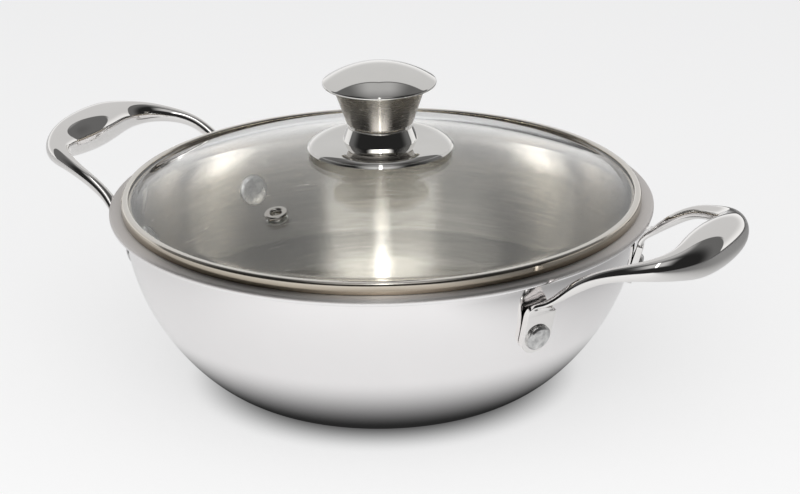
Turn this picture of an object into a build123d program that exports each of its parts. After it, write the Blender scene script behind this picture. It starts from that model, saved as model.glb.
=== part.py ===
from build123d import *
import os
from math import asin, copysign, cos, degrees, pi, sin, sqrt

# A stainless-steel kadai (a round-bottomed two-handled pan) with a domed glass lid.
# Millimetres. +Z is up, the origin is the middle of the base on the floor, and the
# two handles lie along +X and -X. Heights of rim and lid pieces are counted from the
# top of the bowl's flange, which is the plane that the lid rests on.

# Bowl
bowl_height = 87.0         # floor to the top of the flange
rim_radius = 128.0         # outer edge of the flange
flange_width = 7.5         # outer edge of the flange to the outside of the wall
wall_radius = rim_radius - flange_width
base_radius = 65.6         # flat part of the base
wall = 2.2                 # sheet thickness
straight_wall = 8.0        # upright stretch of wall under the flange
flange_thickness = 1.6
hem_height = 3.0           # folded edge of the flange
hem_width = 2.6
hem_rounding = 1.1
mouth_rounding = 1.5       # bend from the wall to the flange
base_pull_share = 0.35     # how far the base runs on before the side curves up
wall_pull_share = 0.50     # how far the wall runs down before it curves in

# Rivets and handle tabs
rivet_angle = 24.0         # degrees from the handle's axis to each of its rivets
rivet_place_share = 0.82   # place of the rivets along the curve of the side, from the base
rivet_shank_radius = 2.5
rivet_hole_play = 0.05
outer_head_radius = 6.2
outer_head_height = 2.4
inner_head_radius = 6.8
inner_head_height = 2.0
inner_head_edge = 0.7      # height of the inner head at its rim
inner_seat_curve = 70.0    # curve of the inner head's seat, tighter than the wall's
head_rounding = 0.9
tab_width = 15.8
tab_thickness = 3.2
tab_drop = 8.8             # rivet to the tab's lower end
tab_rise = 14.0            # rivet to the tab's upper end
tab_corner = 0.6
tab_end_share = 0.999      # rounding of the tab's lower end, of half its width
tab_edge_rounding = 0.5

# Handles
grip_overhang = 42.8       # flange's edge to the middle of the grip
grip_rise = 7.8            # middle of the grip above the flange
grip_radius = 10.5         # at its thickest
leg_radius = 2.9           # thin round part between tab and grip
leg_ledge = 0.15           # tab's end left free round the flat start of the leg
leg_sink = 1.2             # how far the leg starts inside the tab's end
# Middle line of half a handle, from the tab's end to the middle of the grip: shares of the
# way out, of the way in to the middle, and of the rise
leg_line_shares = (
    (0.000, 0.000, 0.000),
    (0.036, 0.002, 0.105),
    (0.101, 0.014, 0.215),
    (0.195, 0.040, 0.385),
    (0.320, 0.055, 0.600),
    (0.465, 0.067, 0.785),
    (0.687, 0.150, 0.925),
    (0.858, 0.280, 0.975),
    (0.955, 0.455, 0.990),
    (0.992, 0.620, 0.995),
    (1.000, 0.810, 1.000),
    (1.000, 1.000, 1.000),
)
leg_broad_shares = (1.0, 0.93, 0.43, 0.09, 0.0, 0.0, 0.0, 0.0, 0.0, 0.0, 0.0, 0.0)
leg_thin_shares = (1.0, 1.0, 0.75, 0.38, 0.06, 0.0, 0.0, 0.0, 0.0, 0.0, 0.0, 0.0)
leg_turn_shares = (1.0, 0.85, 0.50, 0.20, 0.05, 0.0, 0.0, 0.0, 0.0, 0.0, 0.0, 0.0)
grip_swell_shares = (0.0, 0.0, 0.0, 0.0, 0.0, 0.01, 0.12, 0.32, 0.56, 0.79, 0.95, 1.0)
leg_square_share = 0.3     # how far the flat start of the leg goes from oval to square
section_points = 16        # points round each section of the leg

# Lid band, a rolled steel strip round the glass
band_setback = 5.7         # flange's edge to the outside of the band
band_radius = rim_radius - band_setback
band_height = 5.8          # top of the band above the flange
band_thickness = 0.6
band_rounding = 1.5        # outer shoulder
band_fold_rounding = 0.5
lip_width = 4.3            # top face over the edge of the glass
lid_seat_gap = 0.1
skirt_depth = 5.5          # reach of the skirt below the flange
skirt_play = 0.9           # skirt to the mouth of the bowl

# Lid glass
glass_thickness = 4.0
glass_play = 0.2           # glass to band
glass_rise = 26.6          # top of the dome above the flange
glass_rim_width = 4.9      # flat rim inside the band
glass_bend = 10.0          # bend from rim to dome
glass_hole_radius = 5.0    # for the knob's screw

# Steam vent
vent_distance = 79.5       # from the lid's axis
vent_angle = -94.7         # degrees round the lid from +X
vent_hole_radius = 3.2     # hole in the glass
vent_barrel_radius = 2.9
vent_bore_radius = 2.0
vent_flange_radius = 5.3
vent_flange_height = 1.0
vent_rounding = 0.35
vent_washer_radius = 4.8
vent_washer_thickness = 0.6
vent_roll_radius = 3.9     # barrel's end rolled over the washer
vent_roll_height = 0.5
vent_play = 0.05

# Knob
gasket_radius = 12.0       # soft ring between glass and base disc
gasket_thickness = 2.4
lower_gasket_radius = 9.0
lower_gasket_thickness = 1.5
lower_gasket_play = 0.05
disc_radius = 34.6
disc_thickness = 1.0
disc_edge_height = 2.0
disc_rounding = 0.9
stem_hole_radius = 3.0     # holes that the screw goes through
neck_foot_radius = 18.2
neck_waist_radius = 15.5
neck_groove_radius = 14.8
neck_skirt_height = 6.0
neck_height = 8.5
knob_sheet = 1.2
body_foot_radius = 15.6
body_top_radius = 21.4
body_height = 17.0         # cone from its foot to the lip
lip_radius = 22.8
lip_height = 1.6
body_rounding = 0.8
cap_radius = 26.6
cap_edge_height = 1.2
cap_rise = 8.3
cap_rounding = 0.5
cap_skirt_play = 0.6       # cap's skirt to the inside of the knob's lip
cap_skirt_depth = 2.6
insert_radius = 6.0
insert_play = 0.2
insert_height = 22.0
insert_flange_radius = 9.0
insert_flange_height = 1.5
insert_cap_height = 4.0    # solid end above the thread

# Screw
screw_radius = 2.4
screw_play = 0.1
screw_reach = 14.0         # length of screw inside the insert
screw_head_radius = 4.8
screw_head_height = 2.8
screw_head_rounding = 1.2
screw_washer_radius = 8.0
screw_washer_thickness = 1.2
slot_width = 1.2
slot_length = 5.6
slot_depth = 1.6

# Overrun of cutting shapes
cut_overrun = 5.0


def face_of(*corners):
    """Closed face from corners (radius, height, rounding), drawn in the plan of a lathe."""
    points = [(radius, height) for radius, height, _ in corners]
    roundings = [rounding for _, _, rounding in corners]
    return make_face(FilletPolyline(*points, radius=roundings, close=True))


def turned(face):
    """Solid that the face makes when it is turned about the vertical axis."""
    return revolve(Plane.XZ * face, Axis.Z)


def ring(inner_radius, outer_radius, low, high, rounding=0):
    """Flat ring, rounded on its outer edges."""
    return turned(face_of(
        (inner_radius, low, 0),
        (outer_radius, low, rounding),
        (outer_radius, high, rounding),
        (inner_radius, high, 0),
    ))


def dome_arc(radius, foot, top):
    """Arc of a dome whose centre lies on the axis, from its foot to its top."""
    rise = top - foot
    curve = (radius * radius + rise * rise) / (2 * rise)
    middle = radius / 2
    height = top - curve + copysign(sqrt(curve * curve - middle * middle), curve)
    return ThreePointArc((radius, foot), (middle, height), (0, top))


def rod(radius, low, high):
    """Upright round rod."""
    return Pos(0, 0, low) * Cylinder(
        radius, high - low, align=(Align.CENTER, Align.CENTER, Align.MIN))


# Bowl

def side_curve(sheet):
    """Curve of the side from the flat base to the upright wall, a sheet's depth inside."""
    top_radius = wall_radius - sheet
    top_height = bowl_height - straight_wall
    run = (top_radius - base_radius) * base_pull_share
    drop = (top_height - sheet) * wall_pull_share
    return Bezier(
        (base_radius, sheet),
        (base_radius + run, sheet),
        (top_radius, top_height - drop),
        (top_radius, top_height),
    )


def bowl_blank():
    """Bowl without its rivet holes."""
    mouth_radius = wall_radius - wall
    start_height = bowl_height - straight_wall
    under_flange = bowl_height - flange_thickness
    under_hem = bowl_height - hem_height
    hem_inside = rim_radius - hem_width
    rim = FilletPolyline(
        (wall_radius, start_height),
        (wall_radius, under_flange),
        (hem_inside, under_flange),
        (hem_inside, under_hem),
        (rim_radius, under_hem),
        (rim_radius, bowl_height),
        (mouth_radius, bowl_height),
        (mouth_radius, start_height),
        radius=(mouth_rounding, hem_rounding / 2, hem_rounding, hem_rounding,
                hem_rounding, mouth_rounding),
    )
    outline = [
        Line((0, 0), (base_radius, 0)),
        side_curve(0),
        rim,
        side_curve(wall),
        Line((base_radius, wall), (0, wall)),
        Line((0, wall), (0, 0)),
    ]
    return turned(make_face(outline))


def rivet_place(angle):
    """Plane on the outside of the wall at a rivet: X along the rim, Y up the wall, Z out."""
    curve = side_curve(0)
    spot = curve @ rivet_place_share
    slope = curve % rivet_place_share
    out = Vector(1, 0, 0).rotate(Axis.Z, angle)
    along_rim = Vector(0, 1, 0).rotate(Axis.Z, angle)
    up = Vector(0, 0, 1)
    return Plane(
        origin=out * spot.X + up * spot.Y, x_dir=along_rim, z_dir=out * slope.Y - up * slope.X)


def rivet_angles(side):
    """Angles of the front and rear rivet of the handle on side +1 or -1."""
    middle = 0 if side > 0 else 180
    return {"front": middle - side * rivet_angle, "rear": middle + side * rivet_angle}


def bowl():
    hole_radius = rivet_shank_radius + rivet_hole_play
    shape = bowl_blank()
    for side in (1, -1):
        for angle in rivet_angles(side).values():
            shape -= rivet_place(angle) * rod(hole_radius, -wall - cut_overrun, cut_overrun)
    return shape


def wall_at_rivet():
    """Thickness of the wall where the rivets go through it."""
    spot = side_curve(0) @ rivet_place_share
    return side_curve(wall).distance_to(Vertex(spot.X, spot.Y, 0))


def rivet(angle):
    """Rivet with a flat outer head on the tab and a low domed head inside the bowl."""
    head_top = tab_thickness + outer_head_height
    seat = -wall_at_rivet() - rivet_hole_play
    seat_fall = inner_seat_curve - sqrt(inner_seat_curve ** 2 - inner_head_radius ** 2)
    edge = seat - seat_fall - inner_head_edge
    crown = seat - inner_head_height
    outer = FilletPolyline(
        (0, head_top),
        (outer_head_radius, head_top),
        (outer_head_radius, tab_thickness),
        (rivet_shank_radius, tab_thickness),
        (rivet_shank_radius, seat),
        (inner_head_radius, seat - seat_fall),
        (inner_head_radius, edge),
        radius=(head_rounding, 0, 0, 0, 0),
    )
    dome = dome_arc(inner_head_radius, edge, crown)
    face = make_face([outer, dome, Line((0, crown), (0, head_top))])
    return rivet_place(angle) * turned(face)


# Handles

def bulged(value, power):
    """Sine or cosine moved away from zero, which squares the oval that it draws."""
    return copysign(abs(value) ** power, value)


def section(point, along, broad_way, half_width, half_thickness, power):
    """Oval section across the leg, its width along the broad way."""
    plane = Plane(origin=point, x_dir=broad_way, z_dir=along)
    corners = []
    for step in range(section_points):
        turn = 2 * pi * step / section_points
        across = half_width * bulged(cos(turn), power)
        through = half_thickness * bulged(sin(turn), power)
        corners.append(plane.from_local_coords(Vector(across, through)))
    return make_face(Spline(*corners, periodic=True))


def leg_sections():
    """Places and sizes of the sections of half a handle, from the front tab to the middle."""
    place = rivet_place(-rivet_angle)
    end_depth = tab_thickness - tab_edge_rounding
    start_half_width = tab_width / 2 - tab_corner - leg_ledge
    start_half_thickness = end_depth / 2 - leg_ledge
    start = place.from_local_coords(Vector(0, tab_rise - leg_sink, end_depth / 2))
    end = Vector(rim_radius + grip_overhang, 0, bowl_height + grip_rise)
    way = end - start
    points = [
        start + Vector(way.X * out, way.Y * inward, way.Z * rise)
        for out, inward, rise in leg_line_shares
    ]
    mirrored = Vector(points[-2].X, -points[-2].Y, points[-2].Z)
    behind = points[1] - place.y_dir * (points[1] - points[0]).length
    neighbours = [behind] + points + [mirrored]
    sections = []
    for index, point in enumerate(points):
        along = neighbours[index + 2] - neighbours[index]
        turn = leg_turn_shares[index]
        level = Vector(0, 0, 1).cross(along).normalized()
        broad_way = place.x_dir * turn + level * (1 - turn)
        radius = leg_radius + (grip_radius - leg_radius) * grip_swell_shares[index]
        broad = leg_broad_shares[index]
        half_width = radius + (start_half_width - radius) * broad
        half_thickness = radius + (start_half_thickness - radius) * leg_thin_shares[index]
        power = 1 - leg_square_share * broad
        sections.append((point, along, broad_way, half_width, half_thickness, power))
    return sections


def leg_and_grip():
    """Both legs and the grip as one smooth body through its sections."""
    half = leg_sections()
    faces = [section(*place) for place in half]
    for point, along, broad_way, *sizes in reversed(half[:-1]):
        faces.append(section(
            Vector(point.X, -point.Y, point.Z),
            Vector(-along.X, along.Y, -along.Z),
            Vector(broad_way.X, -broad_way.Y, broad_way.Z),
            *sizes,
        ))
    return loft(faces)


def tab(angle):
    """Flat tab on the wall, round at its lower end, with its rivet hole."""
    half_width = tab_width / 2
    end_rounding = half_width * tab_end_share
    outline = FilletPolyline(
        (-half_width, tab_rise),
        (-half_width, -tab_drop),
        (half_width, -tab_drop),
        (half_width, tab_rise),
        radius=(tab_corner, end_rounding, end_rounding, tab_corner),
        close=True,
    )
    plate = extrude(make_face(outline), tab_thickness)
    outer_edges = plate.edges().group_by(Axis.Z)[-1]
    plate = fillet(outer_edges, tab_edge_rounding)
    plate -= rod(rivet_shank_radius + rivet_hole_play, -cut_overrun, tab_thickness + cut_overrun)
    return rivet_place(angle) * plate


def handle(side):
    shape = leg_and_grip() + [tab(angle) for angle in rivet_angles(1).values()]
    return shape if side > 0 else Rot(0, 0, 180) * shape


# Lid glass and band

def glass_low():
    """Height of the glass's flat rim above the floor."""
    return bowl_height + lid_seat_gap + band_thickness + glass_play


def glass_outer_radius():
    return band_radius - band_thickness - glass_play


def dome_radius():
    """Radius of the top of the dome, from its foot and its rise."""
    foot = glass_outer_radius() - glass_rim_width
    rise = bowl_height + glass_rise - glass_low() - glass_thickness
    return (foot * foot + rise * rise) / (2 * rise)


def dome_height(distance, depth):
    """Height of the dome at a distance from the axis, a depth inside its top surface."""
    radius = dome_radius()
    centre = bowl_height + glass_rise - radius
    return centre + sqrt((radius - depth) ** 2 - distance * distance)


def vent_place():
    """Plane on top of the glass at the steam vent, Z out of the glass."""
    height = dome_height(vent_distance, 0)
    tilt = degrees(asin(vent_distance / dome_radius()))
    return Rot(0, 0, vent_angle) * Pos(vent_distance, 0, height) * Rot(0, tilt, 0)


def lid_glass():
    low = glass_low()
    high = low + glass_thickness
    outer = glass_outer_radius()
    radius = dome_radius()
    top = bowl_height + glass_rise
    centre = top - radius
    foot_top = outer - glass_rim_width
    foot_low = sqrt((radius - glass_thickness) ** 2 - (low - centre) ** 2)
    outline = [
        dome_arc(foot_top, high, top),
        FilletPolyline((foot_top, high), (outer, high), (outer, low), (foot_low, low),
                       radius=(glass_thickness / 5, glass_thickness / 5)),
        dome_arc(foot_low, low, top - glass_thickness),
        Line((0, top - glass_thickness), (0, top)),
    ]
    face = make_face(outline)
    for corner, bend in (((foot_top, high), glass_bend),
                         ((foot_low, low), glass_bend + glass_thickness)):
        face = fillet(face.vertices().sort_by_distance(corner)[0], bend)
    shape = turned(face)
    shape -= rod(glass_hole_radius, low, top + cut_overrun)
    shape -= vent_place() * rod(vent_hole_radius, -glass_thickness - cut_overrun, cut_overrun)
    return shape


def lid_band():
    """Strip with a lip over the glass, an outer wall, a shelf and a skirt in the mouth."""
    top = bowl_height + band_height
    seat = bowl_height + lid_seat_gap
    low = bowl_height - skirt_depth
    lip_end = band_radius - lip_width
    skirt = wall_radius - wall - skirt_play
    inside = band_radius - band_thickness
    return turned(face_of(
        (lip_end, top, 0),
        (band_radius, top, band_rounding),
        (band_radius, seat, band_fold_rounding),
        (skirt, seat, band_fold_rounding),
        (skirt, low, 0),
        (skirt - band_thickness, low, 0),
        (skirt - band_thickness, seat + band_thickness, band_thickness + band_fold_rounding),
        (inside, seat + band_thickness, 0),
        (inside, top - band_thickness, band_rounding - band_thickness),
        (lip_end, top - band_thickness, 0),
    ))


# Steam vent

def vent_eyelet():
    roll_top = -glass_thickness - vent_play - vent_washer_thickness
    return vent_place() * turned(face_of(
        (vent_bore_radius, vent_flange_height, vent_rounding),
        (vent_flange_radius, vent_flange_height, vent_rounding),
        (vent_flange_radius, 0, vent_rounding),
        (vent_barrel_radius, 0, 0),
        (vent_barrel_radius, roll_top, 0),
        (vent_roll_radius, roll_top, 0),
        (vent_roll_radius, roll_top - vent_roll_height, 0),
        (vent_bore_radius, roll_top - vent_roll_height, vent_rounding),
    ))


def vent_washer():
    high = -glass_thickness - vent_play
    return vent_place() * ring(
        vent_barrel_radius + vent_play, vent_washer_radius, high - vent_washer_thickness, high)


# Knob

def knob_heights():
    """Heights above the floor of the seats in the knob, from the glass up."""
    glass_top = bowl_height + glass_rise
    plate = glass_top + gasket_thickness
    neck = plate + disc_thickness
    body = neck + neck_height
    lip = body + body_height
    cap = lip + lip_height
    return {"glass": glass_top, "plate": plate, "neck": neck, "body": body,
            "lip": lip, "cap": cap}


def lower_stack():
    """Heights of the undersides of lower gasket and screw washer."""
    gasket_top = dome_height(lower_gasket_radius, glass_thickness) - lower_gasket_play
    washer_top = gasket_top - lower_gasket_thickness
    return gasket_top, washer_top, washer_top - screw_washer_thickness


def gasket_upper():
    seats = knob_heights()
    return ring(stem_hole_radius, gasket_radius, seats["glass"], seats["plate"])


def gasket_lower():
    gasket_top, washer_top, _ = lower_stack()
    return ring(stem_hole_radius, lower_gasket_radius, washer_top, gasket_top)


def screw_washer():
    _, washer_top, head_top = lower_stack()
    return ring(stem_hole_radius, screw_washer_radius, head_top, washer_top)


def knob_screw():
    _, _, head_top = lower_stack()
    head_low = head_top - screw_head_height
    shape = turned(face_of(
        (0, head_low, 0),
        (screw_head_radius, head_low, screw_head_rounding),
        (screw_head_radius, head_top, 0),
        (screw_radius, head_top, 0),
        (screw_radius, knob_heights()["neck"] + screw_reach, screw_radius / 4),
        (0, knob_heights()["neck"] + screw_reach, 0),
    ))
    slot = Box(slot_length, slot_width, slot_depth * 2)
    for turn in (0, 90):
        shape -= Pos(0, 0, head_low) * Rot(0, 0, turn) * slot
    return shape


def knob_base_disc():
    """Stamped plate with its edge turned down towards the glass."""
    low = knob_heights()["plate"]
    high = low + disc_thickness
    edge = high - disc_edge_height
    inside = disc_radius - disc_thickness
    return turned(face_of(
        (stem_hole_radius, low, 0),
        (inside, low, 0),
        (inside, edge, 0),
        (disc_radius, edge, disc_thickness / 4),
        (disc_radius, high, disc_rounding),
        (stem_hole_radius, high, 0),
    ))


def knob_neck():
    """Collar with a sloped skirt, a groove and a top plate."""
    low = knob_heights()["neck"]
    waist = low + neck_skirt_height
    high = low + neck_height
    hole = insert_radius + insert_play
    return turned(face_of(
        (neck_foot_radius, low, 0),
        (neck_waist_radius, waist, body_rounding),
        (neck_groove_radius, waist, 0),
        (neck_groove_radius, high, 0),
        (hole, high, 0),
        (hole, high - knob_sheet, 0),
        (neck_groove_radius - knob_sheet, high - knob_sheet, 0),
        (neck_groove_radius - knob_sheet, waist, 0),
        (neck_foot_radius - knob_sheet, low, 0),
    ))


def knob_body():
    """Conical shell with a floor and a thin lip at the top."""
    seats = knob_heights()
    low = seats["body"]
    lip = seats["lip"]
    high = seats["cap"]
    hole = insert_radius + insert_play
    return turned(face_of(
        (hole, low, 0),
        (body_foot_radius, low, body_rounding),
        (body_top_radius, lip, body_rounding),
        (lip_radius, lip + lip_height / 4, body_rounding / 2),
        (lip_radius, high, 0),
        (body_top_radius - knob_sheet / 4, high, 0),
        (body_top_radius - knob_sheet, lip, 0),
        (body_foot_radius - knob_sheet, low + knob_sheet, 0),
        (hole, low + knob_sheet, 0),
    ))


def knob_insert():
    """Threaded boss that the screw pulls down on the floor of the knob's body."""
    seats = knob_heights()
    low = seats["neck"]
    flange_low = seats["body"] + knob_sheet
    flange_high = flange_low + insert_flange_height
    high = low + insert_height
    return turned(face_of(
        (screw_radius + screw_play, low, 0),
        (insert_radius, low, 0),
        (insert_radius, flange_low, 0),
        (insert_flange_radius, flange_low, 0),
        (insert_flange_radius, flange_high, 0),
        (insert_radius, flange_high, 0),
        (insert_radius, high, 0),
        (0, high, 0),
        (0, high - insert_cap_height, 0),
        (screw_radius + screw_play, high - insert_cap_height, 0),
    ))


def knob_cap():
    """Domed cap with a rounded edge and a short skirt inside the knob's lip."""
    low = knob_heights()["cap"]
    foot = low + cap_edge_height
    top = foot + cap_rise
    skirt_low = low - cap_skirt_depth
    skirt = body_top_radius - knob_sheet - cap_skirt_play
    skirt_inside = skirt - knob_sheet
    dome = (cap_radius * cap_radius + cap_rise * cap_rise) / (2 * cap_rise)
    inner_dome = dome - knob_sheet
    centre = top - dome
    shelf = low + knob_sheet
    inner_foot = sqrt(inner_dome ** 2 - (shelf - centre) ** 2)
    outline = [
        dome_arc(cap_radius, foot, top),
        Polyline((cap_radius, foot), (cap_radius, low), (skirt, low), (skirt, skirt_low),
                 (skirt_inside, skirt_low), (skirt_inside, shelf), (inner_foot, shelf)),
        dome_arc(inner_foot, shelf, top - knob_sheet),
        Line((0, top - knob_sheet), (0, top)),
    ]
    face = make_face(outline)
    for corner in ((cap_radius, foot), (cap_radius, low)):
        face = fillet(face.vertices().sort_by_distance(corner)[0], cap_rounding)
    return turned(face)


def build():
    """All pieces by node name."""
    nodes = {"bowl": bowl()}
    for name, side in (("right", 1), ("left", -1)):
        nodes["handle_" + name] = handle(side)
        for end, angle in rivet_angles(side).items():
            nodes["rivet_" + name + "_" + end] = rivet(angle)
    for piece in (lid_glass, lid_band, vent_eyelet, vent_washer, gasket_upper, gasket_lower,
                  screw_washer, knob_screw, knob_base_disc, knob_neck, knob_body,
                  knob_insert, knob_cap):
        nodes[piece.__name__] = piece()
    return nodes


os.makedirs("parts", exist_ok=True)
for name, shape in build().items():
    export_step(shape, "parts/" + name + ".step")
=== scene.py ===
import bpy
from math import asin, atan2, cos, pi, radians, sin, sqrt, tan
from mathutils import Matrix, Vector


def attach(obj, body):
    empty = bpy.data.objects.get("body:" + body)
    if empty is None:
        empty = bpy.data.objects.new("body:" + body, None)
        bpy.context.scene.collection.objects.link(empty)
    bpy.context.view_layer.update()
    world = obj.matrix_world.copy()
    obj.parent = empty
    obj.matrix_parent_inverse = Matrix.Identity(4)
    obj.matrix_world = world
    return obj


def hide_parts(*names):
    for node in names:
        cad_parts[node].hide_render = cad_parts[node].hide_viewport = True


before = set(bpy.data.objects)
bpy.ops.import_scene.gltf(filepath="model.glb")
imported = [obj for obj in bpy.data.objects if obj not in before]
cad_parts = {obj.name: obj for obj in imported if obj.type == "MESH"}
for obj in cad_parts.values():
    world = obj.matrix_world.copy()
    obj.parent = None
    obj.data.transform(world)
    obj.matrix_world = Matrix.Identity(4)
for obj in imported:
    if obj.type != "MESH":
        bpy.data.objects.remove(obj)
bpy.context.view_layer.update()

# Lengths of the shapes are in millimetres; those of materials, floor and lamps are in metres
MM = 0.001

# Facets round the turned pieces
GLASS_FACETS = 320
RIM_FACETS = 384
KNOB_FACETS = 256
EYELET_FACETS = 96
RIVET_FACETS = 72

# Sizes, the same as in the part's source
BOWL_HEIGHT = 87.0
RIM_RADIUS = 128.0
WALL_RADIUS = 120.5
BASE_RADIUS = 65.6
WALL = 2.2
STRAIGHT_WALL = 8.0
FLANGE_THICKNESS = 1.6
HEM_HEIGHT = 3.0
HEM_WIDTH = 2.6
RIVET_ANGLE = 24.0
RIVET_SHARE = 0.82          # how far up the curved side the rivets sit
TAB_HALF_WIDTH = 7.9
TAB_THICKNESS = 3.2
TAB_DROP = 8.8
TAB_RISE = 14.0
GRIP_REACH = 170.8
GRIP_HEIGHT = 94.8
BAND_RADIUS = 122.3
BAND_TOP = 92.8
BAND_SHEET = 0.6
GLASS_TOP = 113.6
GLASS_SHEET = 4.0
GLASS_LOW = 87.9
GLASS_OUTER = 121.5
GLASS_FOOT = 116.6
GLASS_HOLE = 5.0
VENT_DISTANCE = 79.5
VENT_ANGLE = -94.7


# Camera: the photograph's viewing point, heading, pitch and roll

CAMERA_PLACE = (652.1, -1055.9, 538.0)
CAMERA_HEADING, CAMERA_PITCH, CAMERA_ROLL = 121.31, 20.96, -0.93
CAMERA_LENS, CAMERA_SENSOR = 126, 36
CAMERA_NEAR, CAMERA_FAR = 0.05, 50


def make_camera():
    heading, pitch, roll = map(radians, (CAMERA_HEADING, CAMERA_PITCH, CAMERA_ROLL))
    ahead = Vector((cos(heading) * cos(pitch), sin(heading) * cos(pitch), -sin(pitch)))
    level = ahead.cross(Vector((0, 0, 1))).normalized()
    upright = level.cross(ahead)
    right = level * cos(roll) + upright * sin(roll)
    up = upright * cos(roll) - level * sin(roll)
    data = bpy.data.cameras.new("camera")
    data.sensor_width = CAMERA_SENSOR
    data.lens = CAMERA_LENS
    data.clip_start = CAMERA_NEAR
    data.clip_end = CAMERA_FAR
    cam = bpy.data.objects.new("camera", data)
    turn = Matrix((right, up, -ahead)).transposed().to_4x4()
    cam.matrix_world = Matrix.Translation(Vector(CAMERA_PLACE) * MM) @ turn
    bpy.context.scene.collection.objects.link(cam)
    bpy.context.scene.camera = cam


# Meshes

def add_object(name, verts, faces, sharp_angle=32):
    """Smooth-shaded object whose edges are sharp from an angle in degrees."""
    mesh = bpy.data.meshes.new(name)
    mesh.from_pydata(verts, [], faces)
    mesh.validate()
    mesh.shade_smooth()
    mesh.set_sharp_from_angle(angle=radians(sharp_angle))
    obj = bpy.data.objects.new(name, mesh)
    bpy.context.scene.collection.objects.link(obj)
    return obj


def rounded(corners, closed=True, steps=6):
    """Points of an outline whose corners (radius, height, rounding) are rounded by arcs."""
    points = []
    count = len(corners)
    for i, (x, y, size) in enumerate(corners):
        here = Vector((x, y))
        if size <= 0 or (not closed and i in (0, count - 1)):
            points.append(here)
            continue
        before = Vector(corners[i - 1][:2]) - here
        after = Vector(corners[(i + 1) % count][:2]) - here
        half = before.angle(after) / 2
        # An arc takes less than half of the shorter side, so that its neighbours have room
        reach = min(size / tan(half), before.length * 0.49, after.length * 0.49)
        radius = reach * tan(half)
        middle = here + (before.normalized() + after.normalized()).normalized() * (
            radius / sin(half))
        first = here + before.normalized() * reach - middle
        last = here + after.normalized() * reach - middle
        sweep = atan2(first.x * last.y - first.y * last.x, first.dot(last))
        for k in range(steps + 1):
            a = sweep * k / steps
            points.append(middle + Vector((
                first.x * cos(a) - first.y * sin(a), first.x * sin(a) + first.y * cos(a))))
    return points


def dome_arc(radius, foot, top, steps):
    """Arc of a dome that is centred on the axis, from (radius, foot) up to (0, top)."""
    rise = top - foot
    curve = (radius ** 2 + rise ** 2) / (2 * rise)
    whole = asin(radius / curve)
    points = []
    for k in range(steps + 1):
        a = whole * (1 - k / steps)
        points.append(Vector((curve * sin(a), top - curve + curve * cos(a))))
    return points


def bezier(a, b, c, d, steps):
    points = []
    for k in range(steps + 1):
        t = k / steps
        points.append(Vector(a) * (1 - t) ** 3 + Vector(b) * 3 * t * (1 - t) ** 2
                      + Vector(c) * 3 * t * t * (1 - t) + Vector(d) * t ** 3)
    return points


def without_doubles(points):
    """The outline without points that lie on top of the point before."""
    kept = []
    for p in points:
        if not kept or (p - kept[-1]).length > 1e-4:
            kept.append(p)
    return kept


def turned(name, outline, facets, closed=True, sharp_angle=32, place=None):
    """Object that the outline (radius, height) makes when turned about the vertical axis."""
    outline = without_doubles(outline)
    if closed and (outline[0] - outline[-1]).length < 1e-4:
        outline.pop()
    # The outline runs with the metal on its left, so that the faces look outwards
    if sum(a.x * b.y - b.x * a.y for a, b in zip(outline, outline[1:] + outline[:1])) < 0:
        outline.reverse()
    verts, rows = [], []
    for p in outline:
        if p.x < 1e-5:
            rows.append([len(verts)])
            verts.append(Vector((0, 0, p.y)))
        else:
            rows.append(list(range(len(verts), len(verts) + facets)))
            for k in range(facets):
                a = 2 * pi * k / facets
                verts.append(Vector((p.x * cos(a), p.x * sin(a), p.y)))
    faces = []
    pairs = list(zip(rows, rows[1:]))
    if closed:
        pairs.append((rows[-1], rows[0]))
    for low, high in pairs:
        if len(low) == 1 and len(high) == 1:
            continue
        for k in range(facets):
            n = (k + 1) % facets
            if len(low) == 1:
                faces.append((low[0], high[n], high[k]))
            elif len(high) == 1:
                faces.append((low[k], low[n], high[0]))
            else:
                faces.append((low[k], low[n], high[n], high[k]))
    if place is not None:
        verts = [place @ v for v in verts]
    return add_object(name, [v * MM for v in verts], faces, sharp_angle)


def joined(name, parts):
    """One object from several, with their meshes copied in."""
    verts, faces = [], []
    for part in parts:
        start = len(verts)
        verts.extend(v.co.copy() for v in part.data.vertices)
        faces.extend([start + i for i in f.vertices] for f in part.data.polygons)
        bpy.data.objects.remove(part)
    return add_object(name, verts, faces)


# Bowl

SIDE_RUN, SIDE_DROP = 0.35, 0.50    # how far the pulls of the side's curve reach


def side_points(sheet, steps=72):
    """Curved side of the bowl, from the base up, this far inside the outer face."""
    top_radius = WALL_RADIUS - sheet
    top = BOWL_HEIGHT - STRAIGHT_WALL
    run = (top_radius - BASE_RADIUS) * SIDE_RUN
    drop = (top - sheet) * SIDE_DROP
    return bezier((BASE_RADIUS, sheet), (BASE_RADIUS + run, sheet),
                  (top_radius, top - drop), (top_radius, top), steps)


def make_bowl():
    mouth = WALL_RADIUS - WALL
    start = BOWL_HEIGHT - STRAIGHT_WALL
    under = BOWL_HEIGHT - FLANGE_THICKNESS
    low = BOWL_HEIGHT - HEM_HEIGHT
    rim = rounded((
        (WALL_RADIUS, start, 0),
        (WALL_RADIUS, under, 1.5),
        (RIM_RADIUS - HEM_WIDTH, under, 0.55),
        (RIM_RADIUS - HEM_WIDTH, low, 1.1),
        (RIM_RADIUS, low, 1.1),
        (RIM_RADIUS, BOWL_HEIGHT, 1.1),
        (mouth, BOWL_HEIGHT, 1.5),
        (mouth, start, 0),
    ), closed=False, steps=8)
    base = [Vector((0, 0)), Vector((BASE_RADIUS * 0.5, 0)), Vector((BASE_RADIUS - 2, 0))]
    inner_base = [Vector((p.x, WALL)) for p in reversed(base)]
    outline = base + side_points(0) + rim + side_points(WALL)[::-1] + inner_base
    obj = turned("bowl_shell", outline, RIM_FACETS, sharp_angle=50)
    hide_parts("bowl")
    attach(obj, "pan")
    return obj


# Rivets and handles

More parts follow.
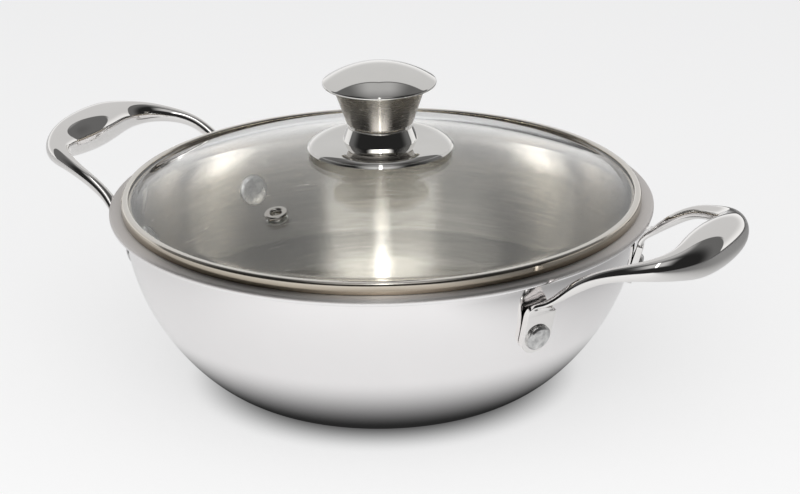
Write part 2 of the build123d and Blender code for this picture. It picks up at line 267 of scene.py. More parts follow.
def rivet_frame(angle):
    """Matrix of the plane on the wall at a rivet: X along the rim, Y up the wall, Z out."""
    steps = 1000
    spots = side_points(0, steps)
    i = round(RIVET_SHARE * steps)
    slope = (spots[i + 1] - spots[i - 1]).normalized()
    a = radians(angle)
    out = Vector((cos(a), sin(a), 0))
    along = Vector((-sin(a), cos(a), 0))
    up = Vector((0, 0, 1))
    z = out * slope.y - up * slope.x
    y = z.cross(along)
    turn = Matrix((along, y, z)).transposed().to_4x4()
    return Matrix.Translation(out * spots[i].x + up * spots[i].y) @ turn


def make_rivet(name, angle):
    """The two heads of a rivet: one on the tab and one inside the bowl."""
    place = rivet_frame(angle)
    top = TAB_THICKNESS + 2.4
    outer = rounded((
        (0, top, 0),
        (3.6, top, 1.5),
        (5.3, top - 0.35, 1.2),
        (6.2, top - 1.2, 0.7),
        (6.2, TAB_THICKNESS, 0),
        (0, TAB_THICKNESS, 0),
    ), closed=False, steps=8)
    seat = -WALL - 0.1
    lip = seat - 0.33
    inner = [Vector((0, seat))] + rounded((
        (7.5, lip, 0),
        (7.5, lip - 0.7, 0.4),
        (5.8, seat - 1.7, 2.5),
        (0, seat - 2.2, 0),
    ), closed=False, steps=6)
    obj = joined(name + "_head", [turned("outer_head", outer, RIVET_FACETS, place=place),
                                  turned("inner_head", inner, RIVET_FACETS, place=place)])
    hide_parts(name)
    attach(obj, "pan")
    return obj


def spline(knots, values, spots):
    """Natural cubic through values (tuples) at knots, read at spots."""
    count = len(knots)
    gap = [knots[i + 1] - knots[i] for i in range(count - 1)]
    out = [[] for _ in spots]
    for axis in range(len(values[0])):
        y = [v[axis] for v in values]
        upper = [0.0] * count
        right = [0.0] * count
        for i in range(1, count - 1):
            rhs = 3 * ((y[i + 1] - y[i]) / gap[i] - (y[i] - y[i - 1]) / gap[i - 1])
            pivot = 2 * (gap[i] + gap[i - 1]) - gap[i - 1] * upper[i - 1]
            upper[i] = gap[i] / pivot
            right[i] = (rhs - gap[i - 1] * right[i - 1]) / pivot
        c = [0.0] * count
        for i in range(count - 2, 0, -1):
            c[i] = right[i] - upper[i] * c[i + 1]
        i = 0
        for n, s in enumerate(spots):
            while i < count - 2 and s > knots[i + 1]:
                i += 1
            h = s - knots[i]
            b = (y[i + 1] - y[i]) / gap[i] - gap[i] * (2 * c[i] + c[i + 1]) / 3
            d = (c[i + 1] - c[i]) / (3 * gap[i])
            out[n].append(y[i] + b * h + c[i] * h * h + d * h ** 3)
    return out


# Stations of half a handle past the tab: way out, way in, rise, half width, half thickness,
# turn of the broad side, squareness
LEG = (
    (0.036, 0.002, 0.105, 6.90, 1.35, 0.85, 0.60),
    (0.101, 0.014, 0.215, 4.80, 1.68, 0.50, 0.30),
    (0.195, 0.040, 0.385, 3.30, 2.30, 0.20, 0.06),
    (0.320, 0.055, 0.600, 2.92, 2.80, 0.05, 0.0),
    (0.465, 0.067, 0.785, 2.98, 2.98, 0.0, 0.0),
    (0.687, 0.150, 0.925, 3.81, 3.81, 0.0, 0.0),
    (0.858, 0.280, 0.975, 5.33, 5.33, 0.0, 0.0),
    (0.955, 0.455, 0.990, 7.16, 7.16, 0.0, 0.0),
    (0.992, 0.620, 0.995, 8.90, 8.90, 0.0, 0.0),
    (1.000, 0.810, 1.000, 10.12, 10.12, 0.0, 0.0),
    (1.000, 1.000, 1.000, 10.50, 10.50, 0.0, 0.0),
)
TAB_ARC_STATIONS = 12       # across the round end of the tab
TAB_STRAIGHT_STATIONS = (0.5, 3.0, 6.0, 8.5, 10.5, 12.0)
TAB_SQUARE = 0.88           # squareness of the tab's section
TAB_EDGE, TAB_EDGE_LOSS = 0.8, 0.45     # length and depth of the rounding at the tab's end
HANDLE_STRIDE = 0.6         # between the rings of points along a handle
HANDLE_RING = 72            # points in one ring
LEAST_HALF, MOST_SQUARE = 0.05, 0.9     # limits that keep every section sound


def half_handle():
    """Stations (centre, broad way, half width, half thickness, squareness) of half a handle."""
    place = rivet_frame(-RIVET_ANGLE)
    along = place.to_3x3() @ Vector((1, 0, 0))
    stations = []
    round_from = TAB_HALF_WIDTH - TAB_DROP
    half = TAB_THICKNESS / 2
    # The tab's end is half a circle, and its edge is rounded off
    for k in range(TAB_ARC_STATIONS):
        a = pi / 2 * (k + 0.35) / TAB_ARC_STATIONS
        y = round_from - TAB_HALF_WIDTH * cos(a)
        edge = min(1, (y + TAB_DROP) / TAB_EDGE)
        depth = half - TAB_EDGE_LOSS * (1 - sqrt(1 - (1 - edge) ** 2))
        stations.append((place @ Vector((0, y, half)), along, TAB_HALF_WIDTH * sin(a),
                         depth, TAB_SQUARE if k > 2 else 0.7))
    for y in TAB_STRAIGHT_STATIONS:
        stations.append((place @ Vector((0, y, half)), along, TAB_HALF_WIDTH, half, TAB_SQUARE))
    stations.append((place @ Vector((0, 13.2, half)), along, TAB_HALF_WIDTH - 0.15,
                     half - 0.1, 0.82))
    # The leg starts a little below the tab's top and inside its thickness
    start = place @ Vector((0, TAB_RISE - 0.6, 1.35))
    way = Vector((GRIP_REACH, 0, GRIP_HEIGHT)) - start
    points = [start + Vector((way.x * o, way.y * i, way.z * r)) for o, i, r, *_ in LEG]
    for i, (_, _, _, wide, thick, turn, square) in enumerate(LEG):
        before = points[i - 1] if i else start
        if i + 1 < len(LEG):
            after = points[i + 1]
        else:
            # Past the middle of the grip the handle goes on as its own mirror image
            after = points[i - 1] * Vector((1, -1, 1))
        level = Vector((0, 0, 1)).cross(after - before).normalized()
        broad = along * turn + level * (1 - turn)
        stations.append((points[i], broad, wide, thick, square))
    return stations


def handle_rows():
    """Finely spaced rows (centre, broad way, half width, half thickness, squareness)."""
    whole = half_handle()
    mirror = Vector((1, -1, 1))
    for centre, broad, wide, thick, square in reversed(whole[:-1]):
        whole.append((centre * mirror, broad * mirror, wide, thick, square))
    knots = [0.0]
    for a, b in zip(whole, whole[1:]):
        knots.append(knots[-1] + (b[0] - a[0]).length)
    spots = []
    for a, b in zip(knots, knots[1:]):
        parts = max(1, round((b - a) / HANDLE_STRIDE))
        spots += [a + (b - a) * k / parts for k in range(parts)]
    spots.append(knots[-1])
    values = [tuple(c) + tuple(b) + (w, t, q) for c, b, w, t, q in whole]
    return spline(knots, values, spots)


def make_handle(name, side):
    rows = handle_rows()
    count = len(rows)
    verts, faces = [], []
    for i, row in enumerate(rows):
        centre = Vector(row[0:3])
        ahead = Vector(rows[min(i + 1, count - 1)][0:3]) - Vector(rows[max(i - 1, 0)][0:3])
        ahead.normalize()
        broad = Vector(row[3:6])
        broad = (broad - ahead * broad.dot(ahead)).normalized()
        thin = ahead.cross(broad)
        wide, thick = max(row[6], LEAST_HALF), max(row[7], LEAST_HALF)
        power = 1 - min(max(row[8], 0), MOST_SQUARE)
        for k in range(HANDLE_RING):
            a = 2 * pi * (k + 0.5) / HANDLE_RING
            c, s = cos(a), sin(a)
            u = wide * abs(c) ** power * (1 if c > 0 else -1)
            v = thick * abs(s) ** power * (1 if s > 0 else -1)
            verts.append(centre + broad * u + thin * v)
    ring = [(k, (k + 1) % HANDLE_RING) for k in range(HANDLE_RING)]
    for i in range(count - 1):
        this, following = i * HANDLE_RING, (i + 1) * HANDLE_RING
        faces += [(this + k, this + n, following + n, following + k) for k, n in ring]
    # Both ends are closed by a fan round their middle
    for start, first in ((0, True), ((count - 1) * HANDLE_RING, False)):
        middle = len(verts)
        total = Vector((0, 0, 0))
        for k, _ in ring:
            total += verts[start + k]
        verts.append(total / HANDLE_RING)
        for k, n in ring:
            a, b = (n, k) if first else (k, n)
            faces.append((start + a, start + b, middle))
    if side < 0:
        verts = [Vector((-v.x, -v.y, v.z)) for v in verts]
    obj = add_object(name + "_forged", [v * MM for v in verts], faces, 40)
    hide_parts(name)
    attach(obj, "pan")
    return obj


# Lid

def glass_dome():
    """Radius of the dome's upper face, and the height of its centre."""
    rise = GLASS_TOP - GLASS_LOW - GLASS_SHEET
    curve = (GLASS_FOOT ** 2 + rise ** 2) / (2 * rise)
    return curve, GLASS_TOP - curve


def make_glass():
    curve, centre = glass_dome()
    low_curve = curve - GLASS_SHEET
    low_foot = sqrt(low_curve ** 2 - (GLASS_LOW - centre) ** 2)

    def face(radius, outer, steps=60):
        """Points of the upper or lower face, from the hole outwards."""
        spots = [GLASS_HOLE + (outer - GLASS_HOLE) * k / steps for k in range(steps + 1)]
        return [Vector((r, centre + sqrt(radius ** 2 - r ** 2))) for r in spots]

    upper = face(curve, GLASS_FOOT - 6.0)
    lower = face(low_curve, low_foot - 6.0)
    edge = rounded((
        (*upper[-1], 0),
        (GLASS_FOOT, GLASS_LOW + GLASS_SHEET, 22),
        (GLASS_OUTER, GLASS_LOW + GLASS_SHEET, 0.8),
        (GLASS_OUTER, GLASS_LOW, 0.8),
        (low_foot, GLASS_LOW, 26),
        (*lower[-1], 0),
    ), closed=False, steps=10)
    obj = turned("lid_glass_dome", upper + edge + lower[::-1], GLASS_FACETS, sharp_angle=50)
    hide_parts("lid_glass")
    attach(obj, "lid")
    return obj


def make_band():
    """Rim of sheet: a lip over the glass, an outer face, a seat and a skirt in the mouth."""
    skirt = WALL_RADIUS - WALL - 0.9
    seat = BOWL_HEIGHT + 0.1
    low = BOWL_HEIGHT - 5.5
    lip = BAND_RADIUS - 3.4
    lip_end = BAND_TOP - 1.9
    outline = rounded((
        (lip, lip_end, 0.2),
        (lip, BAND_TOP, 1.1),
        (BAND_RADIUS, BAND_TOP, 1.9),
        (BAND_RADIUS, seat, 0.5),
        (skirt, seat, 0.5),
        (skirt, low, 0.28),
        (skirt - BAND_SHEET, low, 0.28),
        (skirt - BAND_SHEET, seat + BAND_SHEET, 1.1),
        (BAND_RADIUS - BAND_SHEET, seat + BAND_SHEET, 0),
        (BAND_RADIUS - BAND_SHEET, BAND_TOP - BAND_SHEET, 1.3),
        (lip + BAND_SHEET, BAND_TOP - BAND_SHEET, 0.5),
        (lip + BAND_SHEET, lip_end, 0.2),
    ), steps=8)
    obj = turned("lid_band_rolled", outline, RIM_FACETS)
    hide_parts("lid_band")
    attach(obj, "lid")
    return obj


def vent_frame():
    """Matrix of the vent: its origin on the glass, Z straight out of it."""
    curve, centre = glass_dome()
    height = centre + sqrt(curve ** 2 - VENT_DISTANCE ** 2)
    tilt = asin(VENT_DISTANCE / curve)
    return (Matrix.Rotation(radians(VENT_ANGLE), 4, "Z")
            @ Matrix.Translation((VENT_DISTANCE, 0, height)) @ Matrix.Rotation(tilt, 4, "Y"))


def make_eyelet():
    roll = -GLASS_SHEET - 0.65      # the washer lies between the glass and the rolled end
    outline = rounded((
        (2.3, 1.5, 1.35),
        (5.3, 1.5, 1.4),
        (5.3, 0.0, 0.4),
        (2.9, 0.0, 0),
        (2.9, roll, 0),
        (3.9, roll, 0),
        (3.9, roll - 0.5, 0.2),
        (2.3, roll - 0.5, 0.3),
    ), steps=6)
    obj = turned("vent_eyelet_rolled", outline, EYELET_FACETS, place=vent_frame())
    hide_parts("vent_eyelet")
    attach(obj, "lid")
    return obj


DISC_FLAT, DISC_FALL = 16.5, 2.6    # the disc curves down outside this radius, by this much


def make_knob():
    plate = GLASS_TOP + 2.4
    neck = plate + 1.0
    body = neck + 8.5
    waist = body - 1.7
    lip = body + 17.0
    cap = lip + 1.6
    foot = cap + 1.2
    top = foot + 8.3
    made = {}

    crown = [(r, neck + 0.7 - DISC_FALL * max(0, (r - DISC_FLAT) / DISC_FLAT) ** 5, 0)
             for r in range(33, 5, -1)]
    disc = rounded([
        (3.0, plate - 0.5, 0),
        (33.4, plate - 1.0, 0.3),
        (33.4, neck - 3.5, 0.2),
        (34.6, neck - 3.5, 0.25),
        *crown,
        (3.0, neck + 0.7, 0),
    ], steps=10)
    made["knob_base_disc"] = turned("knob_disc_spun", disc, KNOB_FACETS)

    collar = rounded((
        (18.0, neck, 0.15),
        (17.6, neck + 1.2, 2.0),
        (15.2, waist, 0.4),
        (14.7, waist, 0.15),
        (14.8, body, 0),
        (6.2, body, 0),
        (6.2, body - 1.2, 0),
        (13.4, body - 1.2, 0),
        (13.6, waist - 1.0, 0),
        (16.6, neck, 0),
    ), steps=8)
    made["knob_neck"] = turned("knob_neck_spun", collar, KNOB_FACETS)

    cone = rounded((
        (6.2, body, 0),
        (15.6, body, 0.8),
        (21.4, lip, 0.8),
        (22.8, lip + 0.4, 0.4),
        (22.8, cap, 0.2),
        (21.1, cap, 0),
        (20.2, lip, 0),
        (14.4, body + 1.2, 0),
        (6.2, body + 1.2, 0),
    ), steps=8)
    made["knob_body"] = turned("knob_cone_spun", cone, KNOB_FACETS)

    # The dome's last two steps give way to the rounding of the cap's edge
    dome = dome_arc(26.6, foot, top, 60)
    edge = rounded((
        (dome[2].x, dome[2].y, 0),
        (26.6, foot, 0.8),
        (26.6, cap, 0.5),
        (19.6, cap, 0),
    ), closed=False, steps=8)[1:]
    inner = rounded((
        (19.6, cap, 0),
        (19.6, cap - 2.6, 0.2),
        (18.4, cap - 2.6, 0.2),
        (18.4, cap + 1.2, 0),
        (0, cap + 1.2, 0),
    ), closed=False, steps=4)
    made["knob_cap"] = turned("knob_cap_spun", dome[:1:-1] + edge + inner, KNOB_FACETS,
                              closed=False)
    for node, obj in made.items():
        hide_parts(node)
        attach(obj, "lid")
    return made


# Node trees

ROUND_AXIS = 0.012          # radius of the small circle that noise follows round the axis


class Tree:
    """A node tree, with short ways to add the nodes that this scene uses."""

    def __init__(self, owner, out_kind):
        owner.use_nodes = True
        self.nodes, self.links = owner.node_tree.nodes, owner.node_tree.links
        self.nodes.clear()
        self.out = self.nodes.new(out_kind)

    def feed(self, socket, value):
        """Link a socket to another node's output, or set it to a plain value."""
        if isinstance(value, bpy.types.NodeSocket):
            self.links.new(value, socket)
        else:
            socket.default_value = value

    def surface(self, shader):
        self.links.new(shader, self.out.inputs[0])

    def place(self):
        return self.nodes.new("ShaderNodeTexCoord").outputs["Object"]

    def path(self):
        return self.nodes.new("ShaderNodeLightPath").outputs

    def math(self, operation, *values, clamp=False):
        node = self.nodes.new("ShaderNodeMath")
        node.operation = operation
        node.use_clamp = clamp
        for socket, value in zip(node.inputs, values):
            self.feed(socket, value)
        return node.outputs[0]

    def times(self, first, second):
        return self.math("MULTIPLY", first, second)

    def rest(self, share):
        """What a share leaves of 1."""
        return self.math("SUBTRACT", 1.0, share)

    def vector(self, operation, *values):
        """Vector sum, whose result is a number for a length or a dot product."""
        node = self.nodes.new("ShaderNodeVectorMath")
        node.operation = operation
        for socket, value in zip(node.inputs, values):
            self.feed(socket, value)
        return node.outputs["Value" if operation in ("LENGTH", "DOT_PRODUCT") else "Vector"]

    def scaled(self, vector, share):
        node = self.nodes.new("ShaderNodeVectorMath")
        node.operation = "SCALE"
        self.feed(node.inputs[0], vector)
        self.feed(node.inputs["Scale"], share)
        return node.outputs[0]

    def span(self, value, low, high, to_low=0.0, to_high=1.0, kind="LINEAR"):
        """A value's place between low and high, kept within to_low and to_high."""
        node = self.nodes.new("ShaderNodeMapRange")
        node.interpolation_type = kind
        node.clamp = True
        for key, number in (("From Min", low), ("From Max", high), ("To Min", to_low),
                            ("To Max", to_high)):
            node.inputs[key].default_value = number
        self.links.new(value, node.inputs["Value"])
        return node.outputs[0]

    def smooth(self, value, low, high):
        """From 0 at low to 1 at high, with soft ends."""
        return self.span(value, low, high, kind="SMOOTHSTEP")

    def blend(self, share, first, second):
        node = self.nodes.new("ShaderNodeMix")
        for key, value in (("Factor", share), ("A", first), ("B", second)):
            self.feed(node.inputs[key], value)
        return node.outputs["Result"]

    def blend_colours(self, share, first, second, kind="MIX"):
        node = self.nodes.new("ShaderNodeMix")
        node.data_type = "RGBA"
        node.blend_type = kind
        for key, value in (("Factor", share), ("A", first), ("B", second)):
            self.feed(node.inputs[key], value)
        return node.outputs["Result"]

    def blend_shaders(self, share, first, second):
        node = self.nodes.new("ShaderNodeMixShader")
        for socket, value in zip(node.inputs, (share, first, second)):
            self.feed(socket, value)
        return node.outputs[0]

    def background(self, colour):
        node = self.nodes.new("ShaderNodeBackground")
        self.feed(node.inputs["Color"], colour)
        return node.outputs[0]

    def ramp(self, value, *stops):
        """Colour from stops (place, colour)."""
        node = self.nodes.new("ShaderNodeValToRGB")
        elements = node.color_ramp.elements
        while len(elements) < len(stops):
            elements.new(0.5)
        for element, (spot, colour) in zip(elements, stops):
            element.position = spot
            element.color = (*colour, 1)
        self.links.new(value, node.inputs[0])
        return node.outputs[0]

    def noise(self, scale, detail, stretch=(1, 1, 1), source=None):
        """Noise on the object's own coordinates or on a given vector."""
        node = self.nodes.new("ShaderNodeTexNoise")
        node.inputs["Scale"].default_value = scale
        node.inputs["Detail"].default_value = detail
        mapping = self.nodes.new("ShaderNodeMapping")
        mapping.inputs["Scale"].default_value = stretch
        self.links.new(self.place() if source is None else source, mapping.inputs[0])
        self.links.new(mapping.outputs[0], node.inputs["Vector"])
        return node.outputs[0]

    def bump(self, shader, height, strength, distance):
        node = self.nodes.new("ShaderNodeBump")
        node.inputs["Strength"].default_value = strength
        node.inputs["Distance"].default_value = distance
        self.links.new(height, node.inputs["Height"])
        self.links.new(node.outputs[0], shader.inputs["Normal"])

    def rings(self):
        """A vector for marks round the axis, then the distance from it and the height.

        The vector changes fast with the sum of distance and height, and slowly round the axis.
        """
        split = self.nodes.new("ShaderNodeSeparateXYZ")
        self.links.new(self.place(), split.inputs[0])
        flat = self.nodes.new("ShaderNodeCombineXYZ")
        self.links.new(split.outputs["X"], flat.inputs["X"])
        self.links.new(split.outputs["Y"], flat.inputs["Y"])
        distance = self.vector("LENGTH", flat.outputs[0])
        round_axis = self.scaled(self.vector("NORMALIZE", flat.outputs[0]), ROUND_AXIS)
        across = self.nodes.new("ShaderNodeCombineXYZ")
        self.links.new(self.math("ADD", distance, split.outputs["Z"]), across.inputs["Z"])
        vector = self.vector("ADD", round_axis, across.outputs[0])
        return vector, distance, split.outputs["Z"]


# Materials

def new_material(name, metallic=0):
    """A material with one Principled shader on its output."""
    mat = bpy.data.materials.new(name)
    tree = Tree(mat, "ShaderNodeOutputMaterial")
    shader = tree.nodes.new("ShaderNodeBsdfPrincipled")
    shader.inputs["Metallic"].default_value = metallic
    tree.surface(shader.outputs[0])
    return mat, tree, shader


def brush_round(tree, shader, amount):
    """Reflections drawn out by brush marks that run round the vertical axis."""
    shader.inputs["Anisotropic"].default_value = amount
    shader.inputs["Anisotropic Rotation"].default_value = 0.25
    tangent = tree.nodes.new("ShaderNodeTangent")
    tangent.direction_type = "RADIAL"
    tangent.axis = "Z"
    tree.links.new(tangent.outputs[0], shader.inputs["Tangent"])


def polished(name, light, dark, roughness):
    """Polished steel with faint clouding in its colour and roughness."""
    mat, tree, shader = new_material(name, metallic=1)
    tree.feed(shader.inputs["Base Color"], tree.ramp(tree.noise(22, 3), (0.3, dark), (0.7, light)))
    tree.feed(shader.inputs["Roughness"], tree.span(
        tree.noise(160, 5), 0.3, 0.7, roughness * 0.7, roughness * 1.4))
    return mat


def satin_material():
    """Satin steel of the knob's cone, brushed round its axis."""
    mat, tree, shader = new_material("knob_satin_finish", metallic=1)
    brush_round(tree, shader, 0.9)
    vector, _, _ = tree.rings()
    lines = tree.noise(2400, 3, (0.15, 0.15, 1), vector)
    # The colour is kept darker than the knob's polished steel: painted shade for the dark room the
    # cone reflects; the streaks in it are its grain
    tree.feed(shader.inputs["Base Color"], tree.ramp(
        lines, (0.25, (0.42, 0.40, 0.37)), (0.75, (0.50, 0.475, 0.44))))
    roughness = 0.24
    tree.feed(shader.inputs["Roughness"], tree.span(
        lines, 0.2, 0.8, roughness * 0.8, roughness * 1.25))
    tree.bump(shader, lines, 0.01, 0.0002)
    return mat


# Where the finishes of the bowl change, as heights and distances from the axis
INSIDE_POINT = (0, 0, 0.13)         # on the axis above the bowl
INSIDE_EDGE = (0.0, 0.004)
MOUTH_EDGE = (0.1172, 0.1184)
FLANGE_RISE = (0.0850, 0.0862)
FLANGE_START = (0.1175, 0.1190)
# The lower part inside is painted darker, by height
LOW_DARKER_RISE, LOW_DARKER_EDGE = (0.012, 0.032), (0.032, 0.034)
LOW_DARKER_FOOT, LOW_DARKER_TOP = 0.97, 0.70
SATIN_COLOUR, SATIN_ROUGHNESS = (0.80, 0.77, 0.75), 0.48


def bowl_material():
    """Brushed inside, polished outside and a satin flange, told apart by place."""
    mat, tree, shader = new_material("bowl_steel_finish", metallic=1)
    brush_round(tree, shader, 0.95)
    vector, distance, height = tree.rings()
    # Inside is where the true normal points towards a point on the axis above the bowl
    normal = tree.nodes.new("ShaderNodeNewGeometry").outputs["True Normal"]
    to_axis = tree.vector("SUBTRACT", INSIDE_POINT, tree.place())
    inside = tree.span(tree.vector("DOT_PRODUCT", to_axis, normal), *INSIDE_EDGE)
    inner = tree.math("SUBTRACT", inside, tree.span(distance, *MOUTH_EDGE), clamp=True)
    flange = tree.times(tree.smooth(height, *FLANGE_RISE), tree.smooth(distance, *FLANGE_START))

    lines = tree.noise(1500, 3, (0.3, 0.3, 1), vector)
    brushed = tree.ramp(lines, (0.25, (0.60, 0.565, 0.505)), (0.75, (0.77, 0.730, 0.660)))
    broad = tree.noise(150, 2, (0.35, 0.35, 1), vector)
    soft = tree.ramp(broad, (0.3, (0.92, 0.92, 0.92)), (0.7, (1.0, 1.0, 1.0)))
    # The rounded lower part inside is painted darker than the wall, most so at its upper edge
    darker_by_height = tree.blend(tree.smooth(height, *LOW_DARKER_RISE), LOW_DARKER_FOOT, LOW_DARKER_TOP)
    darker_by_height = tree.blend(tree.smooth(height, *LOW_DARKER_EDGE), darker_by_height, 1.0)
    brushed = tree.blend_colours(1, brushed, tree.scaled(soft, darker_by_height), "MULTIPLY")
    bright = tree.ramp(tree.noise(14, 3), (0.3, (0.91, 0.895, 0.895)),
                       (0.7, (0.94, 0.925, 0.925)))
    colour = tree.blend_colours(inner, bright, brushed)
    tree.feed(shader.inputs["Base Color"],
              tree.blend_colours(flange, colour, (*SATIN_COLOUR, 1)))

    rough_inside = tree.span(lines, 0.2, 0.8, 0.20, 0.28)
    rough_outside = tree.span(tree.noise(120, 4), 0.3, 0.7, 0.05, 0.09)
    rough = tree.blend(inner, rough_outside, rough_inside)
    tree.feed(shader.inputs["Roughness"], tree.blend(flange, rough, SATIN_ROUGHNESS))
    tree.bump(shader, tree.times(lines, inner), 0.02, 0.0002)
    return mat


def band_material():
    """Bright steel strip, with a painted reflection from brown at its foot to cream at its top."""
    mat, tree, shader = new_material("band_polish_and_painted_reflection", metallic=1)
    vector, _, height = tree.rings()
    # Painted reflection: the colour goes by height from brown at the foot to cream at the top
    tree.feed(shader.inputs["Base Color"], tree.ramp(
        tree.span(height, 0.0872, 0.0927),
        (0.0, (0.26, 0.22, 0.17)), (0.40, (0.44, 0.385, 0.31)), (0.80, (0.68, 0.62, 0.53)),
        (1.0, (0.86, 0.83, 0.78))))
    lines = tree.noise(1500, 2, source=vector)
    tree.feed(shader.inputs["Roughness"], tree.span(lines, 0.3, 0.7, 0.12, 0.19))
    return mat


def rivet_material():
    """Soft grey aluminium with small dents from being set."""
    mat, tree, shader = new_material("rivet_aluminium", metallic=1)
    cloud = tree.noise(330, 4)
    tree.feed(shader.inputs["Base Color"], tree.ramp(
        cloud, (0.3, (0.46, 0.46, 0.46)), (0.7, (0.80, 0.80, 0.79))))
    tree.feed(shader.inputs["Roughness"], tree.span(cloud, 0.3, 0.7, 0.45, 0.26))
    tree.bump(shader, tree.noise(260, 3), 0.5, 0.0012)
    return mat


def glass_material():
    """Clear tempered glass that lets light through to what lies under it."""
    mat, tree, shader = new_material("tempered_glass")
    shader.inputs["Base Color"].default_value = (0.985, 0.995, 0.99, 1)
    shader.inputs["Transmission Weight"].default_value = 1
    shader.inputs["IOR"].default_value = 1.46
    tree.feed(shader.inputs["Roughness"], tree.span(tree.noise(40, 3), 0.3, 0.7, 0.0, 0.006))
    clear = tree.nodes.new("ShaderNodeBsdfTransparent")
    clear.inputs["Color"].default_value = (0.93, 0.94, 0.935, 1)
    path = tree.path()
    light_only = tree.math("MAXIMUM", path["Is Shadow Ray"], path["Is Diffuse Ray"])
    tree.surface(tree.blend_shaders(light_only, shader.outputs[0], clear.outputs[0]))
    return mat


def plain_material(name, metallic, light, dark, roughness):
    mat, tree, shader = new_material(name, metallic)
    cloud = tree.noise(200, 4)
    tree.feed(shader.inputs["Base Color"], tree.ramp(cloud, (0.3, dark), (0.7, light)))
    tree.feed(shader.inputs["Roughness"], tree.span(
        cloud, 0.3, 0.7, roughness * 0.8, roughness * 1.2))
    return mat


def dress(obj, mat):
    obj.data.materials.clear()
    obj.data.materials.append(mat)


# Light. The studio is placed by the parts of a unit vector: towards the camera (front), to the
# camera's right or left (off) and up. A pair is where a soft edge starts and ends.

TO_CAMERA = Vector((0.5254, -0.8508, 0))
TO_RIGHT = Vector((0.8508, 0.5254, 0))

FILL = 0.72                             # plain level that lights the object
BACKDROP = (0.855, 0.855, 0.86)         # colour behind the object
STUDIO_TINT = (1.0, 0.995, 0.99)

# Pale sweep behind and beside, from low to high
SWEEP_LOW, SWEEP_HIGH = 0.95, 0.64
SWEEP_RISE = (0.02, 0.30)

# Dark room in the camera's half, with a dim panel overhead and a dark seam to the sweep
LEAN_UP, LEAN_OFF = 0.53, 0.28
ROOM = 0.02
ROOM_EDGE, ROOM_FOOT = (0.0, 0.02), (-0.06, 0.0)
PANEL_MIDDLE, PANEL_SIDE = 0.46, 0.14
PANEL_WIDTH, PANEL_DEPTH = (0.12, 0.42), (0.20, 0.75)
SEAM = 0.10
SEAM_WIDTH, SEAM_RISE = (0.0, 0.03), (0.3, 0.5)

# Soft box overhead: levels as seen in one mirror, in two mirrors and through the glass
CORE_ONCE, CORE_TWICE, CORE_UNDER = 4.0, 8.0, 7.0
HALO_ONCE, HALO_TWICE, HALO_UNDER = 0.55, 3.0, 1.2
CORE_WIDTH, HALO_WIDTH = (0.0, 0.045), (0.12, 0.48)
BOX_BACK = (0.0, 0.25)
BOX_FRONT, BOX_FRONT_UNDER = (0.56, 0.76), (0.78, 0.98)
BOX_FOOT, BOX_FOOT_UNDER = (0.3, 0.5), (0.1, 0.3)
BOX_GAIN_UNDER = 1.6

# Walls as seen through the glass: brighter, most so in the middle
WALLS_ADDED = 0.08
WALLS_MIDDLE, WALLS_SIDE = 1.3, 0.5
WALLS_WIDTH = (0.30, 0.85)


def studio_walls(tree, front, off, up):
    """Brightness of the sweep and the room."""
    sweep = tree.blend(tree.smooth(up, *SWEEP_RISE), SWEEP_LOW, SWEEP_HIGH)
    # The room starts overhead, a little behind the pan, and takes the camera's half
    lean = tree.math("ADD", front, tree.math(
        "ADD", tree.times(up, LEAN_UP), tree.times(off, LEAN_OFF)))
    room = tree.times(tree.smooth(lean, *ROOM_EDGE), tree.smooth(up, *ROOM_FOOT))
    panel = tree.blend(tree.smooth(off, *PANEL_WIDTH), PANEL_MIDDLE, PANEL_SIDE)
    ceiling = tree.blend(tree.smooth(lean, *PANEL_DEPTH), panel, ROOM)
    walls = tree.blend(room, sweep, ceiling)
    seam = tree.rest(tree.smooth(tree.math("ABSOLUTE", lean), *SEAM_WIDTH))
    return tree.blend(tree.times(seam, tree.smooth(up, *SEAM_RISE)), walls, SEAM)


def soft_box(tree, path, under, front, off, up):
    """Brightness of a box that is long in the camera's direction: a narrow core in a halo."""
    core = tree.rest(tree.smooth(off, *CORE_WIDTH))
    halo = tree.rest(tree.smooth(off, *HALO_WIDTH))
    # What is seen in two mirrors, such as the cone over the knob's disc, finds a stronger box
    twice = tree.math("GREATER_THAN", path["Glossy Depth"], 1.5)
    core_level = tree.blend(under, tree.blend(twice, CORE_ONCE, CORE_TWICE), CORE_UNDER)
    halo_level = tree.blend(under, tree.blend(twice, HALO_ONCE, HALO_TWICE), HALO_UNDER)
    across = tree.math("ADD", tree.times(core, core_level), tree.times(halo, halo_level))
    # Under the glass the box is brighter and reaches further down towards the camera
    begin = tree.smooth(front, *BOX_BACK)
    end = tree.rest(tree.blend(under, tree.smooth(front, *BOX_FRONT),
                               tree.smooth(front, *BOX_FRONT_UNDER)))
    low = tree.blend(under, tree.smooth(up, *BOX_FOOT), tree.smooth(up, *BOX_FOOT_UNDER))
    gain = tree.blend(under, 1.0, BOX_GAIN_UNDER)
    return tree.times(tree.times(across, begin), tree.times(end, tree.times(low, gain)))


def studio_colour(tree, path):
    """Colour that a way into the studio finds."""
    way = tree.nodes.new("ShaderNodeTexCoord").outputs["Generated"]
    front = tree.vector("DOT_PRODUCT", way, TO_CAMERA)
    off = tree.math("ABSOLUTE", tree.vector("DOT_PRODUCT", way, TO_RIGHT))
    up = tree.vector("DOT_PRODUCT", way, (0, 0, 1))
    under = tree.math("GREATER_THAN", path["Transmission Depth"], 0.5)
    walls = studio_walls(tree, front, off, up)
    walls = tree.math("ADD", walls, tree.times(under, WALLS_ADDED))
    gain = tree.blend(tree.smooth(off, *WALLS_WIDTH), WALLS_MIDDLE, WALLS_SIDE)
    walls = tree.times(walls, tree.blend(under, 1.0, gain))
    light = tree.math("ADD", walls, soft_box(tree, path, under, front, off, up))
    tint = tree.nodes.new("ShaderNodeCombineColor")
    for channel, share in zip(tint.inputs, STUDIO_TINT):
        tree.feed(channel, tree.times(light, share))
    return tint.outputs[0]


